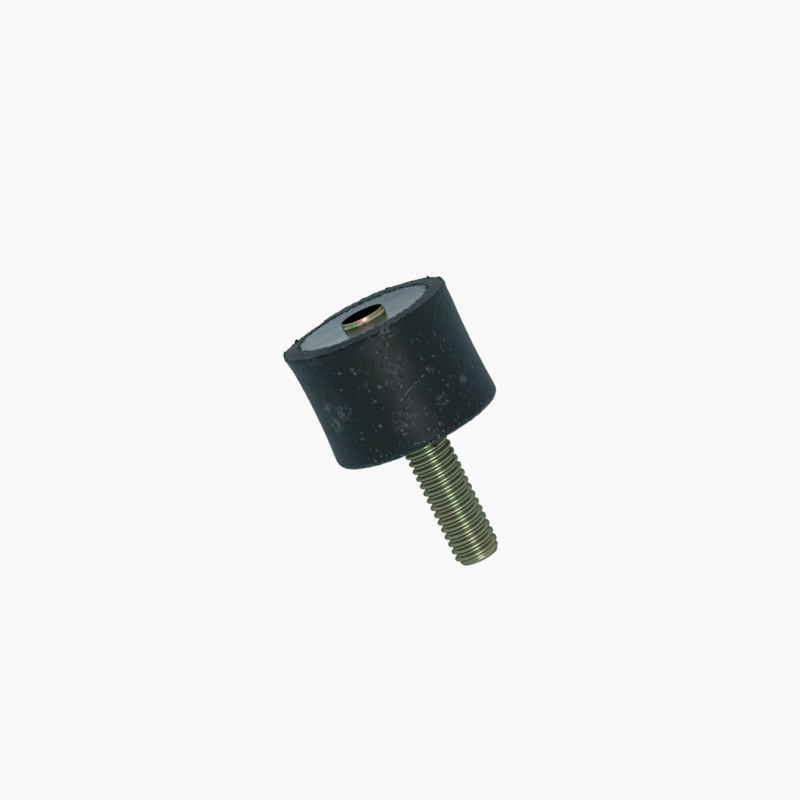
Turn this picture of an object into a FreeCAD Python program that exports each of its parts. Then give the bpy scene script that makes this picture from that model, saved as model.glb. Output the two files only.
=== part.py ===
"""A male and female bobbin vibration mount, built as a parametric document.

A waisted rubber cylinder is moulded round two steel end plates. A stud leaves the base plate downwards, and a
bush with a blind tapped hole is staked into the top plate, its rolled collar standing out of it. Nothing moves.

The frame is in millimetres. The origin is the centre of the base plate's outer face, where the stud leaves it,
+Z is the mount's axis and points at the female end.
"""

import FreeCAD
import Part
import PartDesign
import Sketcher

import os

from FreeCAD import Placement, Rotation, Vector

# The driving dimensions, in millimetres, or degrees where the name says angle
SIZES = {
    "body_diameter": 29.6,
    "waist_depth": 0.35,
    "body_height": 21.2,
    "foot_round": 1.0,
    "rim_flare": 0.15,
    "rim_flare_depth": 1.0,
    "rim_flash_depth": 0.45,
    "rim_corner": 0.3,
    "lip_width": 3.0,
    "plate_thickness": 2.0,
    "plate_recess": 0.15,
    "lip_draft": 0.15,
    "stud_diameter": 7.94,
    "stud_length": 24.7,
    "stud_point_diameter": 6.6,
    "stud_point_length": 1.4,
    "stud_neck_diameter": 8.4,
    "head_across_flats": 12.7,
    "head_height": 4.0,
    "bush_neck_diameter": 7.6,
    "collar_height": 0.95,
    "collar_bulge": 0.17,
    "mouth_diameter": 7.4,
    "mouth_depth": 1.8,
    "tapping_diameter": 5.2,
    "tapped_length": 6.8,
    "drill_point_angle": 118.0,
    "barrel_across_flats": 11.0,
    "barrel_length": 8.85,
    "hexagon_chamfer_angle": 30.0,
}

# Places along the axis and radii that several pieces share, as expressions on the sheet
BODY_RADIUS = "Sizes.body_diameter / 2"
BODY_TOP = "Sizes.body_height"
PLATE_RADIUS = "Sizes.body_diameter / 2 - Sizes.lip_width"
BASE_PLATE_INNER_FACE = "Sizes.plate_thickness"
TOP_PLATE_OUTER_FACE = "Sizes.body_height - Sizes.plate_recess"
TOP_PLATE_INNER_FACE = "Sizes.body_height - Sizes.plate_recess - Sizes.plate_thickness"
STUD_NECK_RADIUS = "Sizes.stud_neck_diameter / 2"
BUSH_NECK_RADIUS = "Sizes.bush_neck_diameter / 2"
COLLAR_TOP = "Sizes.body_height - Sizes.plate_recess + Sizes.collar_height"


def bulge_radius(chord, height):
    """The radius of an arc over a chord, as an expression.

    Args:
        chord: expression for the chord's length.
        height: expression for how far the arc leaves the chord at its middle.

    Returns:
        The expression of the radius.
    """
    return f"((({chord}) / 2)^2 + ({height})^2) / (2 * ({height}))"


def make_sheet(document):
    """Write the driving dimensions into the document's sheet, one named cell each."""
    sheet = document.addObject("Spreadsheet::Sheet", "Sizes")
    for row, (name, value) in enumerate(SIZES.items(), start=1):
        sheet.set(f"A{row}", name)
        sheet.set(f"B{row}", str(value))
        sheet.setAlias(f"B{row}", name)
    document.recompute()
    return sheet


def add_body(document, label):
    """Add an empty body whose label names the piece."""
    body = document.addObject("PartDesign::Body", label)
    body.Label = label
    body.Placement = Placement(Vector(0, 0, 0), Rotation())
    return body


def origin_plane(body, role):
    """Find one of the body's own origin planes by its role."""
    return next(plane for plane in body.Origin.OriginFeatures if plane.Role == role)


def add_sketch(body, name, role, height=None):
    """Add a sketch on one of the body's origin planes, lifted along the plane's normal by an expression."""
    sketch = body.newObject("Sketcher::SketchObject", name)
    sketch.AttachmentSupport = [(origin_plane(body, role), "")]
    sketch.MapMode = "FlatFace"
    if height is not None:
        sketch.setExpression("AttachmentOffset.Base.z", height)
    return sketch


def measure(sketch, expression):
    """Work out an expression on the sheet as a plain number."""
    return float(sketch.evalExpression(expression))


def place_point(sketch, edge, end, across, along):
    """Hold one end of a sketched edge at two expressions, measured from the sketch's origin."""
    for kind, expression in (("DistanceX", across), ("DistanceY", along)):
        value = measure(sketch, expression)
        constraint = sketch.addConstraint(Sketcher.Constraint(kind, -1, 1, edge, end, value))
        sketch.setExpression(f"Constraints[{constraint}]", expression)


def arc_middle(start, end, radius, side):
    """The middle point of an arc from start to end that bulges to the right (+1) or left (-1) of the way."""
    chord = end - start
    half = chord.Length / 2
    height = radius - (radius**2 - half**2) ** 0.5
    right = Vector(chord.y, -chord.x, 0).normalize()
    return (start + end) * 0.5 + right * height * side


def draw_outline(sketch, corners, arcs=None):
    """Draw a closed outline through corners, each held by two expressions.

    Args:
        sketch: the sketch that takes the outline.
        corners: a list of (across, along) expressions in order.
        arcs: for some corners, by index, the (radius expression, side) of the arc that leads to the next corner.
    """
    arcs = arcs or {}
    points = [Vector(measure(sketch, across), measure(sketch, along), 0) for across, along in corners]
    first_ends = []
    last_ends = []
    for index, start in enumerate(points):
        end = points[(index + 1) % len(points)]
        if index in arcs:
            expression, side = arcs[index]
            radius = measure(sketch, expression)
            edge = sketch.addGeometry(Part.Arc(start, arc_middle(start, end, radius, side), end))
            forward = sketch.getPoint(edge, 1).distanceToPoint(start) < sketch.getPoint(edge, 2).distanceToPoint(start)
            constraint = sketch.addConstraint(Sketcher.Constraint("Radius", edge, radius))
            sketch.setExpression(f"Constraints[{constraint}]", expression)
        else:
            edge = sketch.addGeometry(Part.LineSegment(start, end))
            forward = True
        first_ends.append((edge, 1 if forward else 2))
        last_ends.append((edge, 2 if forward else 1))
    for index, (across, along) in enumerate(corners):
        sketch.addConstraint(Sketcher.Constraint("Coincident", *last_ends[index - 1], *first_ends[index]))
        place_point(sketch, *first_ends[index], across, along)


def revolve(body, name, corners, arcs=None, cut=False):
    """Turn an outline in the XZ plane once round the axis, adding material or cutting it away."""
    sketch = add_sketch(body, f"{name}_outline", "XZ_Plane")
    draw_outline(sketch, corners, arcs)
    feature = body.newObject("PartDesign::Groove" if cut else "PartDesign::Revolution", name)
    feature.Profile = sketch
    feature.ReferenceAxis = (sketch, ["V_Axis"])
    feature.Angle = 360
    return feature


def draw_circle(sketch, expression):
    """Draw a circle round the axis with a radius given by an expression."""
    radius = measure(sketch, expression)
    edge = sketch.addGeometry(Part.Circle(Vector(0, 0, 0), Vector(0, 0, 1), radius))
    sketch.addConstraint(Sketcher.Constraint("Coincident", edge, 3, -1, 1))
    constraint = sketch.addConstraint(Sketcher.Constraint("Radius", edge, radius))
    sketch.setExpression(f"Constraints[{constraint}]", expression)


def hexagon_corners(across_flats):
    """The six corners, as expressions, of a hexagon whose flats lie this far apart."""
    half = f"({across_flats}) / 2"
    return [
        (f"{half} / cos(30) * cos({angle})", f"{half} / cos(30) * sin({angle})") for angle in range(0, 360, 60)
    ]


def add_hexagon(body, name, across_flats, bottom, length):
    """Add a hexagonal prism that stands on a height, all given as expressions."""
    sketch = add_sketch(body, f"{name}_outline", "XY_Plane", bottom)
    draw_outline(sketch, hexagon_corners(across_flats))
    pad = body.newObject("PartDesign::Pad", name)
    pad.Profile = sketch
    pad.setExpression("Length", length)
    return pad


def chamfer_hexagon(body, name, across_flats, end, inward):
    """Turn the corners off one end of a hexagon, as on a nut.

    Args:
        body: the body that has the hexagon.
        name: the new feature's name.
        across_flats: expression for the hexagon's width.
        end: expression for the height of the end that is turned.
        inward: +1 where the hexagon lies above that end, -1 where it lies below.
    """
    flat_radius = f"({across_flats}) / 2"
    past_corner = f"({across_flats}) / 2 / cos(30) * 1.1"
    drop = f"(({past_corner}) - {flat_radius}) * tan(Sizes.hexagon_chamfer_angle)"
    corners = [
        (flat_radius, end),
        (past_corner, end),
        (past_corner, f"{end} + {inward} * {drop}"),
    ]
    return revolve(body, name, corners, cut=True)


def add_bush_outside(body):
    """Add what the rubber and the top plate see of the bush: its barrel, neck and rolled collar."""
    barrel_bottom = f"{TOP_PLATE_INNER_FACE} - Sizes.barrel_length"
    add_hexagon(body, "barrel", "Sizes.barrel_across_flats", barrel_bottom, "Sizes.barrel_length")
    chamfer_hexagon(body, "barrel_chamfer", "Sizes.barrel_across_flats", barrel_bottom, 1)
    corners = [
        ("0", TOP_PLATE_INNER_FACE),
        (BUSH_NECK_RADIUS, TOP_PLATE_INNER_FACE),
        (BUSH_NECK_RADIUS, TOP_PLATE_OUTER_FACE),
        (BUSH_NECK_RADIUS, COLLAR_TOP),
        ("0", COLLAR_TOP),
    ]
    roll = {2: (bulge_radius("Sizes.collar_height", "Sizes.collar_bulge"), 1)}
    revolve(body, "neck_and_collar", corners, roll)


def make_threaded_bush(document):
    """The bush: a hexagonal barrel with a staked neck and a blind tapped hole that opens in a flared mouth."""
    body = add_body(document, "threaded_bush")
    add_bush_outside(body)
    hole_radius = "Sizes.tapping_diameter / 2"
    mouth_bottom = f"{COLLAR_TOP} - Sizes.mouth_depth"
    hole_bottom = f"{mouth_bottom} - Sizes.tapped_length"
    corners = [
        ("0", COLLAR_TOP),
        ("Sizes.mouth_diameter / 2", COLLAR_TOP),
        (hole_radius, mouth_bottom),
        (hole_radius, hole_bottom),
        ("0", f"{hole_bottom} - {hole_radius} / tan(Sizes.drill_point_angle / 2)"),
    ]
    revolve(body, "tapped_hole", corners, cut=True)
    return body


def make_threaded_stud(document):
    """The stud: a hexagonal head inside the rubber, a press-fit neck in the base plate and the shank below it."""
    body = add_body(document, "threaded_stud")
    head_top = f"{BASE_PLATE_INNER_FACE} + Sizes.head_height"
    add_hexagon(body, "head", "Sizes.head_across_flats", BASE_PLATE_INNER_FACE, "Sizes.head_height")
    chamfer_hexagon(body, "head_chamfer", "Sizes.head_across_flats", head_top, -1)
    shank_radius = "Sizes.stud_diameter / 2"
    corners = [
        ("0", BASE_PLATE_INNER_FACE),
        (STUD_NECK_RADIUS, BASE_PLATE_INNER_FACE),
        (STUD_NECK_RADIUS, "0"),
        (shank_radius, "0"),
        (shank_radius, "Sizes.stud_point_length - Sizes.stud_length"),
        ("Sizes.stud_point_diameter / 2", "-Sizes.stud_length"),
        ("0", "-Sizes.stud_length"),
    ]
    revolve(body, "neck_and_shank", corners)
    return body


def make_plate(document, label, lower_face, hole_radius):
    """A steel disc with a central hole, bonded into one end of the rubber."""
    body = add_body(document, label)
    sketch = add_sketch(body, f"{label}_outline", "XY_Plane", lower_face)
    draw_circle(sketch, PLATE_RADIUS)
    draw_circle(sketch, hole_radius)
    pad = body.newObject("PartDesign::Pad", f"{label}_disc")
    pad.Profile = sketch
    pad.setExpression("Length", "Sizes.plate_thickness")
    return body


def make_rubber_blank(document):
    """The moulded cylinder with its waist, its rounded foot and flared rim, and a seat for each end plate."""
    body = add_body(document, "rubber_blank")
    flare_bottom = "Sizes.body_height - Sizes.rim_flare_depth"
    waist_chord = f"{flare_bottom} - Sizes.foot_round"
    corners = [
        ("0", "0"),
        (f"{BODY_RADIUS} - Sizes.foot_round", "0"),
        (BODY_RADIUS, "Sizes.foot_round"),
        (BODY_RADIUS, flare_bottom),
        (f"{BODY_RADIUS} + Sizes.rim_flare", "Sizes.body_height - Sizes.rim_flash_depth"),
        (f"{BODY_RADIUS} + Sizes.rim_flare - Sizes.rim_corner", BODY_TOP),
        ("0", BODY_TOP),
    ]
    foot_and_waist = {
        1: ("Sizes.foot_round", 1),
        2: (bulge_radius(waist_chord, "Sizes.waist_depth"), -1),
    }
    revolve(body, "moulded_side", corners, foot_and_waist)
    top_seat = [
        ("0", TOP_PLATE_INNER_FACE),
        (PLATE_RADIUS, TOP_PLATE_INNER_FACE),
        (PLATE_RADIUS, TOP_PLATE_OUTER_FACE),
        (f"{PLATE_RADIUS} + Sizes.lip_draft", BODY_TOP),
        ("0", BODY_TOP),
    ]
    revolve(body, "top_plate_seat", top_seat, cut=True)
    base_seat = [
        ("0", "0"),
        (PLATE_RADIUS, "0"),
        (PLATE_RADIUS, BASE_PLATE_INNER_FACE),
        ("0", BASE_PLATE_INNER_FACE),
    ]
    revolve(body, "base_plate_seat", base_seat, cut=True)
    return body


def make_rubber_body(document, stud):
    """The rubber, moulded round the stud's head and the outside of the bush."""
    blank = make_rubber_blank(document)
    bush_outside = add_body(document, "bush_outside")
    add_bush_outside(bush_outside)
    round_stud = document.addObject("Part::Cut", "rubber_round_stud")
    round_stud.Base = blank
    round_stud.Tool = stud
    rubber = document.addObject("Part::Cut", "rubber_body")
    rubber.Base = round_stud
    rubber.Tool = bush_outside
    rubber.Label = "rubber_body"
    return rubber


def check_document(document, pieces):
    """Stop if any object failed to build or any piece has no valid solid.

    Args:
        document: the document, already recomputed.
        pieces: the objects that are written out.
    """
    for item in document.Objects:
        if "Invalid" in item.State or "Error" in item.State:
            raise RuntimeError(f"{item.Name} failed: {item.State}")
    for piece in pieces:
        if piece.Shape.isNull() or not piece.Shape.isValid():
            raise RuntimeError(f"{piece.Label} has no valid shape")
        print(f"{piece.Label}: {len(piece.Shape.Solids)} solid, {piece.Shape.Volume:.1f} mm3")


def main():
    """Build every piece and write each to its own file."""
    document = FreeCAD.newDocument("bobbin_vibration_mount")
    make_sheet(document)
    stud = make_threaded_stud(document)
    pieces = [
        make_rubber_body(document, stud),
        make_plate(document, "top_plate", TOP_PLATE_INNER_FACE, BUSH_NECK_RADIUS),
        make_threaded_bush(document),
        make_plate(document, "base_plate", "0", STUD_NECK_RADIUS),
        stud,
    ]
    document.recompute()
    check_document(document, pieces)
    os.makedirs("parts", exist_ok=True)
    for piece in pieces:
        piece.Shape.exportStep(f"parts/{piece.Label}.step")


main()
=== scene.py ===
"""Dressed scene of a cylindrical rubber vibration mount.

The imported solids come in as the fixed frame. Each of them is replaced by a finer piece of the same place and
size: the moulded rubber with its flash and scuffs, two bonded end plates, the tapped bush with its rolled
collar, and the threaded stud. Sizes are in millimetres until a piece is finished, and in metres after that.
"""

import logging
import math
from collections.abc import Callable
from dataclasses import dataclass
from enum import Enum

import bmesh
import bpy
from bmesh.types import BMEdge, BMesh
from bpy.types import Material, Node, NodeSocket, NodeTree, Object
from mathutils import Matrix, Vector, noise


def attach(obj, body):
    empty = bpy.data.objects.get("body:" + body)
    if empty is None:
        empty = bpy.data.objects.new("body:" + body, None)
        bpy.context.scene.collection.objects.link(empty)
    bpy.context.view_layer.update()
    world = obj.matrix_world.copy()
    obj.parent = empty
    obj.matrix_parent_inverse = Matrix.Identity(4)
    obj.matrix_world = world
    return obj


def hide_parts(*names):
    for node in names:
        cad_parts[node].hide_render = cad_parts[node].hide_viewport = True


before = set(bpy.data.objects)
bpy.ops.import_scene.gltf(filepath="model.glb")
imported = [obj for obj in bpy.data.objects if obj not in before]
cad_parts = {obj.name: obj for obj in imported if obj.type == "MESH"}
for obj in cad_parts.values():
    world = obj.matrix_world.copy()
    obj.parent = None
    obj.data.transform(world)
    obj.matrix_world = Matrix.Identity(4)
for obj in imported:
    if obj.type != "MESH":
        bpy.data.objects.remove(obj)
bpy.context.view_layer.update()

Place = tuple[float, float, float]
Outline = list[tuple[float, float]]
# What can feed a socket: a node by its first output, a socket, or a number.
Source = Node | NodeSocket | float

MM = 0.001
FULL_TURN = 2.0 * math.pi
WELD = 1e-4
SHARP_EDGE = math.radians(40.0)
PHOTO_SIDE = 800
SENSOR = 36.0

LOG = logging.getLogger("mount")


class Slot(Enum):
    """The material slots that the pieces stand for; finish_piece takes one but does not read it."""

    RUBBER = "rubber"
    PLATE = "plate_steel"
    PASSIVATED = "passivated_steel"


def linear(code: str) -> tuple[float, float, float, float]:
    """Turns an sRGB hex colour into linear RGBA.

    Args:
        code: the colour, such as "#1C2A2E".

    Returns:
        Red, green, blue and alpha, linear, from 0 to 1.
    """
    channels = [int(code[i : i + 2], 16) / 255.0 for i in (1, 3, 5)]
    red, green, blue = (c / 12.92 if c <= 0.04045 else ((c + 0.055) / 1.055) ** 2.4 for c in channels)
    return red, green, blue, 1.0


def feed(tree: NodeTree, node: Node, inputs: dict[str | int, object]) -> None:
    """Gives a node's sockets their values and links.

    Args:
        tree: the node tree that holds the node.
        node: the node that is fed.
        inputs: its sockets by name or number, each with a value, the socket that feeds it, or the node whose
            first output does.
    """
    for name, value in inputs.items():
        source = value.outputs[0] if isinstance(value, Node) else value
        if isinstance(source, NodeSocket):
            tree.links.new(source, node.inputs[name])
        else:
            node.inputs[name].default_value = source


def add_node(
    tree: NodeTree,
    kind: str,
    settings: dict[str, object] | None = None,
    inputs: dict[str | int, object] | None = None,
) -> Node:
    """Adds one node with its settings, values and links.

    Args:
        tree: the node tree that takes it.
        kind: the node's type name, without its first word ShaderNode.
        settings: its own attributes and their values.
        inputs: what its sockets get, as feed takes it.

    Returns:
        The new node.
    """
    node = tree.nodes.new(f"ShaderNode{kind}")
    for name, value in (settings or {}).items():
        setattr(node, name, value)
    feed(tree, node, inputs or {})
    return node


def start_material(name: str) -> tuple[Material, Node, NodeSocket]:
    """Starts a material with a Principled surface and a place in millimetres.

    Args:
        name: the real material's name.

    Returns:
        The material, its Principled node, and the surface point in the piece's own millimetres.
    """
    material = bpy.data.materials.new(name)
    material.use_nodes = True
    tree = material.node_tree
    tree.nodes.clear()
    surface = add_node(tree, "BsdfPrincipled")
    add_node(tree, "OutputMaterial", inputs={"Surface": surface.outputs["BSDF"]})
    own = add_node(tree, "TexCoord")
    place = add_node(
        tree, "Mapping", inputs={"Vector": own.outputs["Object"], "Scale": (1 / MM, 1 / MM, 1 / MM)}
    )
    return material, surface, place.outputs["Vector"]


def from_axis(tree: NodeTree, axes: Node) -> NodeSocket:
    """Measures how far each point is from the mount's axis.

    Args:
        tree: the material's tree.
        axes: the surface point in millimetres, taken apart.

    Returns:
        The distance in millimetres.
    """
    level = add_node(tree, "CombineXYZ", inputs={"X": axes.outputs["X"], "Y": axes.outputs["Y"], "Z": 0.0})
    return add_node(tree, "VectorMath", {"operation": "LENGTH"}, {0: level}).outputs["Value"]


def white_rays(tree: NodeTree) -> Source:
    """Finds the rays that see white surroundings: from the camera, off gloss and through glass.

    Args:
        tree: the node tree of the world or the floor.

    Returns:
        1 for those rays and 0 for all others.
    """
    path = add_node(tree, "LightPath")
    white = path.outputs["Is Camera Ray"]
    for kind in ("Is Glossy Ray", "Is Transmission Ray"):
        white = add_node(tree, "Math", {"operation": "MAXIMUM"}, {0: white, 1: path.outputs[kind]})
    return white


def smooth_step(value: float, low: float, high: float) -> float:
    """Runs smoothly from 0 at low to 1 at high."""
    share = min(1.0, max(0.0, (value - low) / (high - low)))
    return share * share * (3.0 - 2.0 * share)


def ripple(point: Vector, wavelength: float, seed: float) -> float:
    """Gives smooth noise from about -1 to 1 at a point, with bumps about one wavelength apart."""
    return noise.noise(point / wavelength + Vector((seed, -seed, seed)))


def turn(
    outline: Outline, steps: int, pitch: float = 0.0, turns: int = 1, closed: bool = False
) -> BMesh:
    """Spins an outline about the axis, level or along a right-hand helix.

    Args:
        outline: radius and height of each corner, in millimetres.
        steps: steps in one turn.
        pitch: rise of one turn, or 0 for a level ring.
        turns: whole turns of a helix.
        closed: joins the outline's last corner to its first.

    Returns:
        The spun mesh, welded, with its faces outward where it is closed.
    """
    mesh = bmesh.new()
    corners = [mesh.verts.new((radius, 0.0, height)) for radius, height in outline]
    pairs = list(zip(corners, corners[1:]))
    if closed:
        pairs.append((corners[-1], corners[0]))
    edges = [mesh.edges.new(pair) for pair in pairs]
    bmesh.ops.spin(
        mesh,
        geom=corners + edges,
        cent=(0, 0, 0),
        axis=(0, 0, 1),
        dvec=(0, 0, pitch / steps),
        angle=FULL_TURN * turns,
        steps=steps * turns,
        use_merge=pitch == 0.0,
    )
    bmesh.ops.remove_doubles(mesh, verts=mesh.verts, dist=WELD)
    bmesh.ops.recalc_face_normals(mesh, faces=mesh.faces)
    return mesh


def round_rings(mesh: BMesh, rings: Outline, width: float, segments: int) -> None:
    """Rounds whole rings of edges.

    Args:
        mesh: the turned mesh.
        rings: radius and height of each ring.
        width: how far the round reaches from the edge.
        segments: faces across the round.
    """
    reach = 1e-3
    found = [
        edge
        for edge in mesh.edges
        if any(
            all(abs(v.co.xy.length - r) < reach and abs(v.co.z - z) < reach for v in edge.verts)
            for r, z in rings
        )
    ]
    bmesh.ops.bevel(
        mesh, geom=found, offset=width, offset_type="OFFSET", segments=segments, profile=0.5, affect="EDGES",
        clamp_overlap=True, material=-1,
    )


def trim(mesh: BMesh, height: float, keep_below: bool) -> None:
    """Cuts a mesh off square to the axis and closes the cut.

    Args:
        mesh: the mesh to cut.
        height: the height of the cut.
        keep_below: keeps what lies below the cut, and otherwise what lies above.
    """
    cut = bmesh.ops.bisect_plane(
        mesh,
        geom=mesh.verts[:] + mesh.edges[:] + mesh.faces[:],
        plane_co=(0, 0, height),
        plane_no=(0, 0, 1 if keep_below else -1),
        clear_outer=True,
    )
    rim = [e for e in cut["geom_cut"] if isinstance(e, BMEdge)]
    bmesh.ops.holes_fill(mesh, edges=rim, sides=0)


def shape(mesh: BMesh, rule: Callable[[Vector, float, float], tuple[float, float]]) -> None:
    """Moves every point of a turned mesh in its own half plane.

    Args:
        mesh: the turned mesh.
        rule: takes a point, its radius and its height, and gives its new radius and height.
    """
    for vertex in mesh.verts:
        radius = vertex.co.xy.length
        if radius < WELD:
            continue
        new_radius, height = rule(vertex.co.copy(), radius, vertex.co.z)
        vertex.co.x *= new_radius / radius
        vertex.co.y *= new_radius / radius
        vertex.co.z = height


def join(meshes: list[BMesh]) -> BMesh:
    """Gathers several closed shells into one mesh."""
    whole = bmesh.new()
    for mesh in meshes:
        part = bpy.data.meshes.new("shell")
        mesh.to_mesh(part)
        mesh.free()
        whole.from_mesh(part)
        bpy.data.meshes.remove(part)
    return whole


def finish_piece(
    mesh: BMesh,
    name: str,
    node: str,
    slot: Slot,
    finishes: list[Material],
    face_finish: Callable[[Vector], int] | None = None,
) -> Object:
    """Turns a bmesh in millimetres into a finished piece that rides on the root body.

    Args:
        mesh: the piece's mesh, in millimetres, which is freed.
        name: the piece's name.
        node: the CAD node that it stands for.
        slot: not used.
        finishes: the piece's materials.
        face_finish: gives a face's material number from its centre, where there is more than one.

    Returns:
        The piece.
    """
    bmesh.ops.recalc_face_normals(mesh, faces=mesh.faces)
    for face in mesh.faces:
        face.smooth = True
        if face_finish is not None:
            face.material_index = face_finish(face.calc_center_median())
    for edge in mesh.edges:
        edge.smooth = not (len(edge.link_faces) == 2 and edge.calc_face_angle() > SHARP_EDGE)
    bmesh.ops.scale(mesh, vec=(MM, MM, MM), verts=mesh.verts)
    data = bpy.data.meshes.new(name)
    mesh.to_mesh(data)
    mesh.free()
    piece = bpy.data.objects.new(name, data)
    bpy.context.scene.collection.objects.link(piece)
    for finish in finishes:
        data.materials.append(finish)
    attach(piece, "root")
    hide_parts(node)
    LOG.info("%s stands for %s with %d faces", name, node, len(data.polygons))
    return piece


@dataclass(frozen=True)
class PalePatch:
    """A pale patch on the rubber, in millimetres: a rubbed scuff, or, for the broad faint ones down the front,
    a painted highlight.
    """

    centre: Place
    reach: float
    strength: float


@dataclass(frozen=True)
class MouldedRubber:
    """Natural rubber, compression moulded and left as it came out: dark and matt, with pale dust and scuffs.

    The eye gets a deep blue-green black with a painted teal sheen towards the edges, a broad dull sheen,
    pin-sized dust with dark pits beside it that also paint a shadow by each speck, whitish scuffed patches,
    two broad faint pale patches down the front that paint a highlight band, and one long scratch.
    """

    body: str = "#06191B"
    warm: str = "#10161C"
    moss: str = "#091B16"
    # Painted sheen: seen edge-on, the black is mixed towards this dusty teal, by how slanted the surface is to
    # the view.
    edge: str = "#2F5B66"
    strongest_edge_sheen: float = 0.62
    pale_mark: str = "#76868C"
    dust: str = "#4E5D62"
    crumb: str = "#75848A"
    pit: str = "#010203"
    gloss_level: float = 0.05
    roughness: float = 0.8
    bloom: float = 0.2
    bloom_roughness: float = 0.4
    mottle_mm: float = 6.0
    # Dust and crumbs are drawn at about twice their real size, to show at the photograph's scale.
    dust_cell_mm: float = 1.0
    crumb_cell_mm: float = 0.66
    # The real grain is about 0.05 mm, too fine for the view, so it is drawn at 0.25 mm.
    grain_mm: float = 0.25
    bump_mm: float = 0.05
    ior: float = 1.52
    # The middle of the top lip's width, from which its crumbs keep away.
    lip_middle: float = 13.2
    scratch_mm: float = 0.16
    scratch: tuple[Place, ...] = (
        (-0.43, -14.49, 8.93),
        (1.20, -14.45, 9.91),
        (4.74, -13.70, 11.01),
    )
    pale_patches: tuple[PalePatch, ...] = (
        PalePatch((-11.87, -8.32, 12.0), 1.8, 0.6),
        PalePatch((-9.97, -10.52, 10.9), 2.4, 0.45),
        PalePatch((-12.02, -8.11, 8.7), 2.3, 0.75),
        PalePatch((6.38, -13.02, 11.4), 1.0, 0.4),
        PalePatch((10.43, -10.07, 6.7), 1.3, 0.4),
        PalePatch((13.67, -4.83, 12.7), 1.1, 0.5),
        PalePatch((5.87, -13.26, 5.9), 1.4, 0.3),
        # These two broad, faint patches down the front paint a highlight band; they are not scuffs.
        PalePatch((1.20, -14.60, 14.6), 3.4, 0.14),
        PalePatch((-1.00, -14.60, 5.6), 3.4, 0.16),
        # These two patches lighten the top lip at the front and at the left.
        PalePatch((2.60, -13.60, 21.3), 2.6, 0.5),
        PalePatch((-9.50, -9.40, 21.3), 2.4, 0.3),
    )

    def scuffs_and_highlight_band(self, tree: NodeTree, place: NodeSocket) -> Source:
        """Adds the pale patches: rubbed scuffs, and two broad faint ones down the front that paint a highlight
        band.

        Args:
            tree: the material's tree.
            place: the surface point in millimetres.

        Returns:
            How pale each point is from scuffs and the painted highlight band, from 0 to 1.
        """
        tear = add_node(
            tree, "TexNoise",
            inputs={"Vector": place, "Scale": 1.1, "Detail": 6.0, "Roughness": 0.75, "Distortion": 0.9},
        )
        torn = add_node(
            tree, "MapRange", inputs={"Value": tear.outputs["Fac"], "From Min": 0.47, "From Max": 0.58}
        )
        # The tears pull the round patches out of shape, about their mean of one half.
        pull = 4.0
        pulled = add_node(
            tree, "VectorMath", {"operation": "MULTIPLY_ADD"},
            {0: tear.outputs["Color"], 1: (pull, pull, pull), 2: place},
        )
        total: Source = 0.0
        for pale_mark in self.pale_patches:
            centre = tuple(along + pull / 2 for along in pale_mark.centre)
            away = add_node(tree, "VectorMath", {"operation": "DISTANCE"}, {0: pulled, 1: centre})
            share = add_node(
                tree, "MapRange", {"interpolation_type": "SMOOTHSTEP"},
                {
                    "Value": away.outputs["Value"], "From Min": pale_mark.reach * 0.2, "From Max": pale_mark.reach,
                    "To Min": pale_mark.strength, "To Max": 0.0,
                },
            )
            total = add_node(tree, "Math", {"operation": "MAXIMUM"}, {0: total, 1: share})
        return add_node(tree, "Math", {"operation": "MULTIPLY"}, {0: total, 1: torn})

    def scratched(self, tree: NodeTree, place: NodeSocket) -> Source:
        """Adds the scratch, as the distance to the line through its points.

        Args:
            tree: the material's tree.
            place: the surface point in millimetres.

        Returns:
            How scratched each point is, from 0 to 1.
        """
        wobble = add_node(
            tree, "TexNoise", inputs={"Vector": place, "Scale": 2.2, "Detail": 3.0, "Roughness": 0.6}
        )
        total: Source = 0.0
        for start, end in zip(self.scratch, self.scratch[1:]):
            run = Vector(end) - Vector(start)
            way = tuple(run.normalized())
            from_start = add_node(tree, "VectorMath", {"operation": "SUBTRACT"}, {0: place, 1: start})
            along = add_node(tree, "VectorMath", {"operation": "DOT_PRODUCT"}, {0: from_start, 1: way})
            held = add_node(
                tree, "Clamp", inputs={"Value": along.outputs["Value"], "Min": 0.0, "Max": run.length}
            )
            foot = add_node(tree, "VectorMath", {"operation": "SCALE"}, {0: way, "Scale": held})
            away = add_node(tree, "VectorMath", {"operation": "DISTANCE"}, {0: from_start, 1: foot})
            # The wobble takes about 0.4 mm off each distance, so the line's soft edge lies below zero.
            bent = add_node(
                tree, "Math", {"operation": "MULTIPLY_ADD"},
                {0: wobble.outputs["Fac"], 1: -0.8, 2: away.outputs["Value"]},
            )
            line = add_node(
                tree, "MapRange", {"interpolation_type": "SMOOTHSTEP"},
                {
                    "Value": bent, "From Min": self.scratch_mm - 0.6,
                    "From Max": self.scratch_mm - 0.42, "To Min": 0.42, "To Max": 0.0,
                },
            )
            total = add_node(tree, "Math", {"operation": "MAXIMUM"}, {0: total, 1: line})
        return total

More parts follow.
